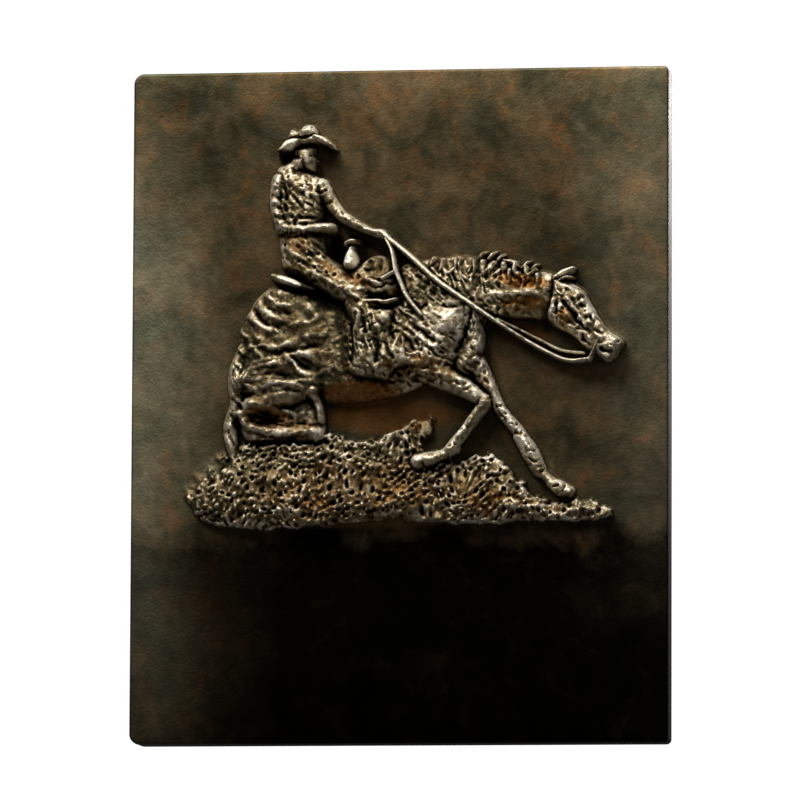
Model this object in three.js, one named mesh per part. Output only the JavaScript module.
// A cast bronze wall plaque: a rider on a horse sliding to a stop, in relief on a plain panel.
// Millimetres. The back lies in the plane y = 0, the face looks along -Y, +Z is up.
// The origin is the middle of the flat back, where the plaque lies against its wall.
import * as THREE from 'three';

// ---- driving dimensions -------------------------------------------------------------------
const PANEL_WIDTH = 203.2;        // eight inches
const PANEL_HEIGHT = 254.0;       // ten inches
const PANEL_THICKNESS = 14.0;
const RIM_ROUNDING = 1.0;         // front edge all the way round
const RIM_STEPS = 2;
const LEFT_CORNER = 4.0;          // corner radii seen from the front
const RIGHT_CORNER = 1.8;
const WALL_SLOPE = 1.2;           // run of the steep side of a form down to what lies below it

const GRID_CELLS = 256;           // a power of two, for the halving of triangles
const SURFACE_TOLERANCE = 0.66;   // how far a facet may stray from the modelled surface
const GROUND_TOLERANCE = 4;       // times that much on the broken ground
const OUTLINE_CARE = 12;          // the panel's own outline is kept this much truer

// ---- small maths --------------------------------------------------------------------------
const clamp = (v, low, high) => Math.min(Math.max(v, low), high);

function ease(t) {
  const s = clamp(t, 0, 1);
  return s * s * (3 - 2 * s);
}

// A fixed number from 0 to 1 for a pair of whole numbers.
function scatter(i, j, k) {
  const s = Math.sin(i * 127.1 + j * 311.7 + k * 74.7) * 43758.5453;
  return s - Math.floor(s);
}

// Smooth random waves from -1 to 1 about `size` across.
function waves(x, z, size, k) {
  const u = x / size;
  const v = z / size;
  const i = Math.floor(u);
  const j = Math.floor(v);
  const a = ease(u - i);
  const b = ease(v - j);
  const high = scatter(i, j + 1, k) * (1 - a) + scatter(i + 1, j + 1, k) * a;
  const low = scatter(i, j, k) * (1 - a) + scatter(i + 1, j, k) * a;
  return (low * (1 - b) + high * b) * 2 - 1;
}

// Rounded lumps packed side by side: 1 on a lump, 0 in the seams between lumps.
function clods(x, z, size, k) {
  const u = x / size;
  const v = z / size;
  let first = 9;
  let second = 9;
  for (let i = Math.floor(u) - 1; i <= Math.floor(u) + 1; i += 1) {
    for (let j = Math.floor(v) - 1; j <= Math.floor(v) + 1; j += 1) {
      const du = i + 0.1 + 0.8 * scatter(i, j, k) - u;
      const dv = j + 0.1 + 0.8 * scatter(i, j, k + 1) - v;
      const away = Math.hypot(du, dv);
      second = Math.min(second, Math.max(first, away));
      first = Math.min(first, away);
    }
  }
  return ease((second - first) * 1.6);
}

// A smooth line through the given points; every number of a point is smoothed alike.
function smoothLine(points, closed = false, steps = 6) {
  const last = points.length - 1;
  if (last < 2 && !closed) return points;
  const at = (i) => {
    if (closed) return points[(i + points.length) % points.length];
    if (i < 0) return points[0].map((v, c) => 2 * v - points[1][c]);
    if (i > last) return points[last].map((v, c) => 2 * v - points[last - 1][c]);
    return points[i];
  };
  const line = [];
  const spans = closed ? points.length : last;
  for (let i = 0; i < spans; i += 1) {
    const [a, b, c, d] = [at(i - 1), at(i), at(i + 1), at(i + 2)];
    for (let s = 0; s < steps; s += 1) {
      const t = s / steps;
      line.push(b.map((v, n) => 0.5 * (2 * v + (c[n] - a[n]) * t
        + (2 * a[n] - 5 * v + 4 * c[n] - d[n]) * t * t
        + (3 * v - a[n] - 3 * c[n] + d[n]) * t * t * t)));
    }
  }
  if (!closed) line.push(points[last]);
  return line;
}

// ---- the relief: a height above the panel's face for every point of a grid -----------------
class Relief {
  constructor() {
    this.side = GRID_CELLS + 1;
    this.width = PANEL_WIDTH - 2 * RIM_ROUNDING;
    this.height = PANEL_HEIGHT - 2 * RIM_ROUNDING;
    this.rise = new Float64Array(this.side * this.side);
    this.ground = new Uint8Array(this.side * this.side);
  }

  x(i) {
    return (i / GRID_CELLS - 0.5) * this.width;
  }

  z(j) {
    return (j / GRID_CELLS - 0.5) * this.height;
  }

  // Calls back for each grid point within `margin` of a line.
  around(line, margin, visit) {
    const xs = line.map((p) => p[0]);
    const zs = line.map((p) => p[1]);
    const column = (x) => clamp(Math.round((x / this.width + 0.5) * GRID_CELLS), 0, GRID_CELLS);
    const row = (z) => clamp(Math.round((z / this.height + 0.5) * GRID_CELLS), 0, GRID_CELLS);
    for (let j = row(Math.min(...zs) - margin); j <= row(Math.max(...zs) + margin); j += 1) {
      for (let i = column(Math.min(...xs) - margin); i <= column(Math.max(...xs) + margin); i += 1) {
        visit(this.x(i), this.z(j), j * this.side + i);
      }
    }
  }

  // Distance from a point to a line, and the line's own numbers at the nearest place.
  static nearest(line, x, z, closed) {
    let away = Infinity;
    let values = line[0];
    const spans = closed ? line.length : line.length - 1;
    for (let k = 0; k < spans; k += 1) {
      const a = line[k];
      const b = line[(k + 1) % line.length];
      const dx = b[0] - a[0];
      const dz = b[1] - a[1];
      const t = clamp(((x - a[0]) * dx + (z - a[1]) * dz) / (dx * dx + dz * dz + 1e-12), 0, 1);
      const here = Math.hypot(x - a[0] - t * dx, z - a[1] - t * dz);
      if (here < away) {
        away = here;
        values = a.map((v, n) => v + (b[n] - v) * t);
      }
    }
    return { away, values };
  }

  static inside(line, x, z) {
    let odd = false;
    line.forEach((a, k) => {
      const b = line[(k + 1) % line.length];
      if ((a[1] > z) !== (b[1] > z) && x < ((b[0] - a[0]) * (z - a[1])) / (b[1] - a[1]) + a[0]) {
        odd = !odd;
      }
    });
    return odd;
  }

  // Raises one grid point; `blend` melts the new form into the old one.
  raise(index, target, share, blend) {
    const old = this.rise[index];
    if (share <= 0) return;
    if (blend > 0) {
      const low = old - blend;
      const fresh = low + (target - low) * share;
      const k = clamp(0.5 + (0.5 * (fresh - old)) / blend, 0, 1);
      this.rise[index] = old + (fresh - old) * k + blend * k * (1 - k);
    } else {
      this.rise[index] = Math.max(old, old + (target - old) * share);
    }
  }

  // A filled outline that swells from its edge: `edge` is how wide its rounding is.
  mass(outline, top, edge, blend = 0) {
    const line = smoothLine(outline, true);
    this.around(line, 2, (x, z, index) => {
      const { away } = Relief.nearest(line, x, z, true);
      const depth = Relief.inside(line, x, z) ? away : -away;
      const q = clamp(depth / edge, 0, 1);
      const target = top * Math.sqrt(1 - (1 - q) * (1 - q));
      this.raise(index, target, ease(depth / WALL_SLOPE + 0.5), blend);
    });
  }

  // A rounded form along a line of [x, z, half width, crest].
  limb(spine, blend = 0) {
    const line = smoothLine(spine);
    const reach = Math.max(...line.map((p) => p[2]));
    this.around(line, reach + 1, (x, z, index) => {
      const { away, values } = Relief.nearest(line, x, z, false);
      const q = clamp(away / values[2], 0, 1);
      const target = values[3] * Math.sqrt(1 - q * q);
      this.raise(index, target, ease((values[2] - away) / WALL_SLOPE + 0.5), blend);
    });
  }
}

// ---- the broken ground under the horse -----------------------------------------------------
function carveGround(relief) {
  const outline = [
    [-81, -30], [-76, -23], [-67, -17], [-58, -14], [-34, -13], [-25, -11], [-15, -13],
    [-7, -13], [0, -9], [10, -5], [14, -8], [9, -17], [22, -21], [30, -19], [38, -20],
    [45, -27], [52, -35], [61, -37], [72, -36.5], [80, -39], [79, -44], [50, -44.5],
    [35, -45.5], [10, -44.5], [0, -43], [-12, -44], [-30, -46], [-58, -46.5], [-75, -42.5],
  ];
  const line = smoothLine(outline, true, 3);
  relief.around(line, 3, (x, z, index) => {
    const rx = x + 1.3 * waves(x, z, 3.2, 1);
    const rz = z + 1.3 * waves(x, z, 3.2, 2);
    const { away } = Relief.nearest(line, rx, rz, true);
    const depth = Relief.inside(line, rx, rz) ? away : -away;
    const body = 3.2 + 3.6 * ease((-12 - z) / 24) * ease(depth / 6) + 1.4 * waves(x, z, 9, 8);
    const height = body + 2.4 * clods(x, z, 4.6, 3);
    const q = clamp((depth + 0.3) / 2.2, 0, 1);
    relief.raise(index, height * Math.sqrt(1 - (1 - q) * (1 - q)), ease(depth / WALL_SLOPE + 0.5), 0);
    if (depth > 0) relief.ground[index] = 1;
  });
}

// ---- the horse -----------------------------------------------------------------------------
function carveHorse(relief) {
  const hock = [-58, -3];
  const knee = [33.5, 0.5];
  const fetlock = [21.3, -16.6];

  // tail, and the far hind leg deep behind the near one
  relief.limb([[-58, 22, 2.2, 7], [-60.2, 14, 3.6, 8.6], [-60.3, 8, 4.4, 9], [-61, 0, 3, 7],
    [-63.3, -9, 3.2, 5.6], [-62, -19, 2.2, 4.6]], 0.6);
  relief.mass([[-60, 2], [-45, 4], [-31, 5], [-27.5, 0], [-26.8, -7], [-28, -14], [-45, -15],
    [-58, -13]], 5.2, 3);

  // far foreleg, thrown forward, with its boot and hoof
  relief.limb([[25, 24, 5.5, 7.5], [31, 14.5, 4.2, 7], [35.5, 7, 3.3, 6.4], [38.8, 1, 2.8, 6.2],
    [41, -3, 2.5, 6], [47, -11, 2.6, 6.2]], 0.5);
  relief.limb([[47, -12, 3.1, 6.8], [51, -19, 3.6, 7.2], [54.2, -25, 3, 6.8]]);
  relief.limb([[54.5, -24.5, 2.3, 6], [57, -27, 2.1, 5.9], [59.5, -29.5, 2.4, 6]]);
  relief.limb([[59, -29.5, 2.5, 6.6], [62, -31.2, 3.2, 7], [65.5, -32.6, 2.5, 6]]);

  // barrel, quarters and neck
  relief.limb([[-42, 23, 19, 9], [-25, 20.5, 20, 9.8], [-5, 22, 19.8, 10], [10, 26.5, 17.5, 10]]);
  relief.mass([[-46, 45], [-52, 42], [-56, 36.5], [-59, 27], [-61, 17], [-61.5, 8], [-57, 1],
    [-47, -1.5], [-38, -1], [-31, 3], [-29.5, 9], [-27, 20], [-24, 33], [-32, 45]], 11.4, 12, 3);
  relief.mass([[0, 50], [8, 54], [17, 55], [24, 56], [33, 54.3], [45, 51.5], [54, 50], [60.5, 47.5],
    [62, 38], [58, 31.5], [46, 31.5], [35, 31], [32, 26], [24, 16], [10, 12], [0, 25]], 9.4, 9, 2);

  // shoulder, chest and breast
  relief.limb([[22, 37, 8, 11.2], [19, 28, 10.5, 12.2], [14, 17, 10, 11.4]], 2.5);
  relief.limb([[28, 31, 4.5, 9], [29, 23, 4.5, 9.4], [26, 15, 5, 9.4]], 2);

  // near hind leg folded under: gaskin, hock and cannon, hoof, stifle
  relief.limb([[-34, 9, 8, 11.5], [-44, 4.5, 6.6, 10.8], [-53, 1, 5, 9.6], [-58, -2.5, 3.6, 8.6]], 1.6);
  relief.limb([[...hock, 3.4, 8.2], [-55.5, -8, 3, 7], [-45, -10.3, 2.7, 6.2], [-35, -9.8, 2.7, 6.6]], 1.2);
  relief.limb([[-36, -9.8, 2.9, 6.8], [-30.5, -11, 4, 7.6]], 1);
  relief.limb([[-32, 5, 3.4, 10.4], [-29.8, 0.5, 2, 7.6], [-28.6, -6, 1.7, 6.4]], 2);

  // near foreleg bent at the knee: forearm, cannon, pastern, hoof
  relief.limb([[7, 14, 10, 9.8], [18, 8.6, 6.8, 10], [27, 4.2, 4.4, 9.4], [...knee, 3.4, 9]], 2);
  relief.limb([[...knee, 3.4, 9], [31, -3.5, 3, 8.8], [26, -10, 2.6, 8.6], [...fetlock, 2.8, 8.8]], 0.6);
  relief.limb([[...fetlock, 3.1, 9], [18.5, -19, 2.5, 8.8], [15, -20.3, 2.9, 9]], 0.4);
  relief.limb([[14.5, -20.6, 3.1, 9.2], [8.5, -22, 4, 9.6]], 0.3);

  // head with its jowl, and the near ear
  relief.mass([[59, 47.5], [65, 46], [71, 43], [74, 38.4], [78, 32], [81, 28], [85, 24.7],
    [86.4, 22.4], [84.6, 19.6], [83, 16.8], [79.5, 15.4], [75.5, 17.3], [70, 21.5], [66, 25.5],
    [60.5, 28.3], [57.2, 31], [57, 36], [58, 42]], 9.8, 6.5);
  relief.limb([[61, 33.5, 5, 10.6], [66, 33.5, 5, 10.6]], 1.5);
  relief.limb([[60, 47, 1.5, 9.4], [63.6, 49.2, 1.6, 10], [67, 50.8, 0.9, 9]]);
}

// ---- the rider and the saddle --------------------------------------------------------------
function carveRider(relief) {
  const farElbow = [-20.8, 71];
  const nearElbow = [-43.6, 68.2];

  // neck with its scarf, and the head
  relief.limb([[-36.2, 92, 3, 8.8], [-39.4, 89.6, 3.6, 9.4], [-41.5, 87, 5, 10]], 1);
  relief.mass([[-39.3, 97.3], [-31.6, 97.6], [-31.1, 95.2], [-30.0, 92.6], [-30.8, 91.4], [-30.9, 88.8],
    [-32.0, 87.9], [-35, 88.6], [-37.4, 90.8], [-39.4, 93.8]], 9.6, 3.8);

  // hat: a brim rolled up at both sides, and a dented crown
  relief.mass([[-46.4, 96], [-45.2, 98.6], [-42.6, 100.8], [-40, 101.8], [-35.5, 101], [-31.4, 102.6],
    [-28.2, 101.4], [-25, 99.4], [-23.4, 97.2], [-26.4, 97.6], [-29.4, 98.8], [-32, 98.6],
    [-36, 98.2], [-39.8, 98.2], [-42.8, 96.4]], 10.6, 1.8);
  relief.mass([[-41.2, 100], [-41.6, 103], [-40, 104.6], [-37.8, 103.6], [-35.4, 105.8], [-32.2, 106],
    [-30.2, 103.8], [-30, 100.8], [-35, 99.4]], 11, 3.2);
  relief.limb([[-45.2, 97.2, 1.5, 11], [-42.8, 98.9, 2.3, 12.2], [-39.9, 100.4, 1.5, 11.6]], 0.8);
  relief.limb([[-32.6, 101.6, 0.9, 11.4], [-29.6, 100.7, 1.5, 12], [-25, 98.6, 0.9, 10.6]], 0.8);

  // far arm reaching forward with the reins
  relief.limb([[-29, 82.5, 3.6, 8.8], [-25, 76, 3, 9], [...farElbow, 2.5, 9.2]]);
  relief.limb([[...farElbow, 2.4, 9.2], [-14.5, 67.3, 2, 9.2], [-9.5, 64.9, 1.6, 9.2]]);
  relief.limb([[-9.5, 64.9, 1.5, 9.2], [-6, 64.2, 2, 9.8], [-3.6, 63, 1.2, 9.4]]);

  // torso
  relief.mass([[-43.2, 90.4], [-46.6, 88], [-48.4, 84.5], [-48.6, 79], [-47, 72], [-45.6, 66], [-45, 60],
    [-43.5, 54], [-38, 50], [-30, 49], [-26.6, 55], [-27.4, 62], [-28, 70], [-27, 78], [-27.6, 84],
    [-31, 87], [-36, 89], [-40, 91.6]], 11.4, 7);

  // saddle seat, fork and skirt, cantle, horn
  relief.mass([[-30, 46], [-21, 50], [-14, 53.5], [-9, 56.3], [-4.5, 56], [-0.5, 52], [2, 46], [2.5, 42],
    [1.5, 39.2], [-5, 38.3], [-13, 37.5], [-22, 37]], 11, 7);
  relief.limb([[-47.5, 49, 1.4, 9.8], [-42, 47, 2.1, 11.2], [-36, 44.6, 2, 11.4], [-30, 43, 1.6, 11]], 0.3);
  relief.limb([[-17.3, 52.6, 3, 13], [-17.2, 55.4, 2.5, 13], [-17.1, 58.4, 1.5, 12.4]], 0.5);
  relief.limb([[-19.2, 60, 0.9, 11.8], [-16.9, 60.9, 1.3, 12.8], [-14, 61.2, 0.8, 11.6]], 0.2);

  // seat and thigh, then the lower leg inside its hanging chaps
  relief.limb([[-37, 55, 7.4, 12.2], [-27, 48.5, 7, 13], [-15, 41, 6.4, 13.8]], 1.5);
  relief.mass([[-21.5, 42], [-18.5, 30], [-17.5, 20], [-19.5, 12], [-14.5, 8.5], [-8, 8], [-3, 7.5],
    [1, 11.5], [6, 12.6], [7, 16], [3, 23], [0, 27], [0.5, 35], [-6, 38], [-12, 42]], 13.6, 6, 1);

  // near arm bent across the body
  relief.limb([[-44.6, 84.4, 3.7, 12.4], [-45.2, 80, 3.7, 13], [-45.3, 75, 3.4, 13.2],
    [...nearElbow, 3.2, 13.4]], 0.4);
  relief.limb([[...nearElbow, 3.2, 13.4], [-36, 66.2, 2.9, 13.8], [-28, 66.6, 2.3, 13.6]], 0.4);
  relief.limb([[-28, 66.6, 1.9, 13.4], [-24.8, 66.2, 2.4, 13.8]], 0.3);
}

// ---- the reins -----------------------------------------------------------------------------
function carveReins(relief) {
  relief.limb([[-4, 63, 0.9, 9.8], [5, 55.5, 1, 11.2], [16, 45.5, 1.05, 13.2], [26, 38.5, 1, 12.6],
    [31, 35, 0.95, 11], [40, 29, 0.9, 7.4], [50, 22.7, 0.9, 6.2], [60, 17.3, 0.9, 6.4],
    [66, 15.6, 0.9, 6.8], [73, 16.3, 0.9, 7.6]]);
  relief.limb([[-4, 62, 0.9, 9.6], [-1.5, 57, 0.9, 11], [0, 50, 0.9, 12.8], [1.8, 45.5, 0.9, 12.8],
    [4.6, 39.5, 0.9, 12.8], [9.8, 33, 0.9, 13]]);
}

// ---- from heights to a closed solid --------------------------------------------------------
// Where a point of the panel's outline belongs: the straight sides stay, the corners turn round.
// `grow` moves the outline outward from the edge of the flat face.
function placeOnFace(relief, x, z, grow) {
  const radius = (x < 0 ? LEFT_CORNER : RIGHT_CORNER) - RIM_ROUNDING;
  const cx = relief.width / 2 - radius;
  const cz = relief.height / 2 - radius;
  const u = (Math.abs(x) - cx) / radius;
  const v = (Math.abs(z) - cz) / radius;
  const sx = Math.sign(x);
  const sz = Math.sign(z);
  const onSide = Math.abs(x) > relief.width / 2 - 1e-6;
  const onEnd = Math.abs(z) > relief.height / 2 - 1e-6;
  if (u > 0 && v > 0) {
    const reach = (Math.max(u, v) * radius + grow) / Math.hypot(u, v);
    return [sx * (cx + u * reach), sz * (cz + v * reach)];
  }
  return [x + (onSide ? sx * grow : 0), z + (onEnd ? sz * grow : 0)];
}

// Splits the face into right triangles, halving each one while a facet would stray too far.
function triangulateFace(relief) {
  const { side } = relief;
  const places = [];
  for (let j = 0; j < side; j += 1) {
    for (let i = 0; i < side; i += 1) {
      const [x, z] = placeOnFace(relief, relief.x(i), relief.z(j), 0);
      places.push([x, -PANEL_THICKNESS - relief.rise[j * side + i], z]);
    }
  }
  const stray = new Float64Array(side * side);
  const chord = new THREE.Line3();
  const middlePoint = new THREE.Vector3();
  const nearestPoint = new THREE.Vector3();
  const n = GRID_CELLS;

  // How far the surface midway between two grid points lies from the straight line joining them.
  const strayAt = (ax, az, bx, bz) => {
    const index = ((az + bz) / 2) * side + (ax + bx) / 2;
    chord.start.fromArray(places[az * side + ax]);
    chord.end.fromArray(places[bz * side + bx]);
    middlePoint.fromArray(places[index]);
    chord.closestPointToPoint(middlePoint, true, nearestPoint);
    const error = nearestPoint.distanceTo(middlePoint);
    const outline = ax === bx ? ax % n === 0 : az === bz && az % n === 0;
    if (outline) return error * OUTLINE_CARE;
    return error / (relief.ground[index] ? GROUND_TOLERANCE : 1);
  };
  // The levels of halving, from the two halves of the face down to the smallest triangles.
  // A triangle is its long side's two ends and its right-angled corner.
  const levels = [[[0, 0, n, n, n, 0], [n, n, 0, 0, 0, n]]];
  while (levels.length < 2 * Math.log2(n)) {
    const halves = levels[levels.length - 1].flatMap(([ax, az, bx, bz, cx, cz]) => {
      const mx = (ax + bx) / 2;
      const mz = (az + bz) / 2;
      return [[cx, cz, ax, az, mx, mz], [bx, bz, cx, cz, mx, mz]];
    });
    levels.push(halves);
  }
  // Measured from the smallest up, so that a triangle is halved wherever a part of it must be.
  levels.reverse().forEach((triangles, depth) => {
    triangles.forEach(([ax, az, bx, bz, cx, cz]) => {
      const middle = ((az + bz) / 2) * side + (ax + bx) / 2;
      let worst = Math.max(stray[middle], strayAt(ax, az, bx, bz));
      if (depth > 0) {
        const left = ((az + cz) / 2) * side + (ax + cx) / 2;
        const right = ((bz + cz) / 2) * side + (bx + cx) / 2;
        worst = Math.max(worst, stray[left], stray[right]);
      }
      stray[middle] = worst;
    });
  });

  const faces = [];
  const split = (ax, az, bx, bz, cx, cz) => {
    const mx = (ax + bx) / 2;
    const mz = (az + bz) / 2;
    const divisible = Math.abs(ax - cx) + Math.abs(az - cz) > 1;
    if (divisible && stray[mz * side + mx] > SURFACE_TOLERANCE) {
      split(cx, cz, ax, az, mx, mz);
      split(bx, bz, cx, cz, mx, mz);
    } else {
      faces.push([az * side + ax, cz * side + cx, bz * side + bx]);
    }
  };
  split(0, 0, n, n, n, 0);
  split(n, n, 0, 0, 0, n);
  return { places, faces };
}

// The edge of the face as a loop of its points, in the order the facets run.
function edgeLoop(faces) {
  const pairs = new Set();
  const sides = ([a, b, c]) => [[a, b], [b, c], [c, a]];
  faces.forEach((face) => sides(face).forEach(([a, b]) => pairs.add(`${a},${b}`)));
  const next = new Map();
  faces.forEach((face) => sides(face).forEach(([a, b]) => {
    if (!pairs.has(`${b},${a}`)) next.set(a, b);
  }));
  const start = next.keys().next().value;
  const loop = [start];
  while (next.get(loop[loop.length - 1]) !== start) {
    loop.push(next.get(loop[loop.length - 1]));
  }
  return loop;
}

// Face, rounded rim, straight side and flat back joined into one closed solid.
function solidPlaque(relief) {
  const { places, faces } = triangulateFace(relief);
  const vertices = [];
  const renumbered = new Map();
  const corner = (index) => {
    if (!renumbered.has(index)) {
      renumbered.set(index, vertices.length);
      vertices.push(places[index]);
    }
    return renumbered.get(index);
  };
  const triangles = faces.map((face) => face.map(corner));

  const loop = edgeLoop(faces);
  const rings = [loop.map(corner)];
  const addRing = (grow, y) => {
    rings.push(loop.map((index) => {
      const x = relief.x(index % relief.side);
      const z = relief.z(Math.floor(index / relief.side));
      const [px, pz] = placeOnFace(relief, x, z, grow);
      vertices.push([px, y, pz]);
      return vertices.length - 1;
    }));
  };
  for (let step = 1; step <= RIM_STEPS; step += 1) {
    const turn = (step / RIM_STEPS) * (Math.PI / 2);
    const y = -PANEL_THICKNESS + RIM_ROUNDING * (1 - Math.cos(turn));
    addRing(RIM_ROUNDING * Math.sin(turn), y);
  }
  addRing(RIM_ROUNDING, 0);

  rings.slice(1).forEach((ring, k) => {
    const inner = rings[k];
    ring.forEach((vertex, i) => {
      const after = (i + 1) % ring.length;
      triangles.push([inner[i], vertex, ring[after]], [inner[i], ring[after], inner[after]]);
    });
  });
  const back = rings[rings.length - 1];
  vertices.push([0, 0, 0]);
  back.forEach((vertex, i) => {
    triangles.push([vertex, vertices.length - 1, back[(i + 1) % back.length]]);
  });

  const geometry = new THREE.BufferGeometry();
  geometry.setAttribute('position', new THREE.Float32BufferAttribute(vertices.flat(), 3));
  geometry.setIndex(triangles.flat());
  geometry.computeVertexNormals();
  return geometry;
}

// ---- the part ------------------------------------------------------------------------------
const relief = new Relief();
carveGround(relief);
carveHorse(relief);
carveRider(relief);
carveReins(relief);

const bronze = new THREE.MeshStandardMaterial({ color: 0x4a3b26, roughness: 0.45, metalness: 1 });
bronze.name = 'dark_bronze';

const plaque = new THREE.Mesh(solidPlaque(relief), bronze);
plaque.name = 'plaque';

const part = new THREE.Group();
part.name = 'relief_plaque';
part.add(plaque);

export default part;
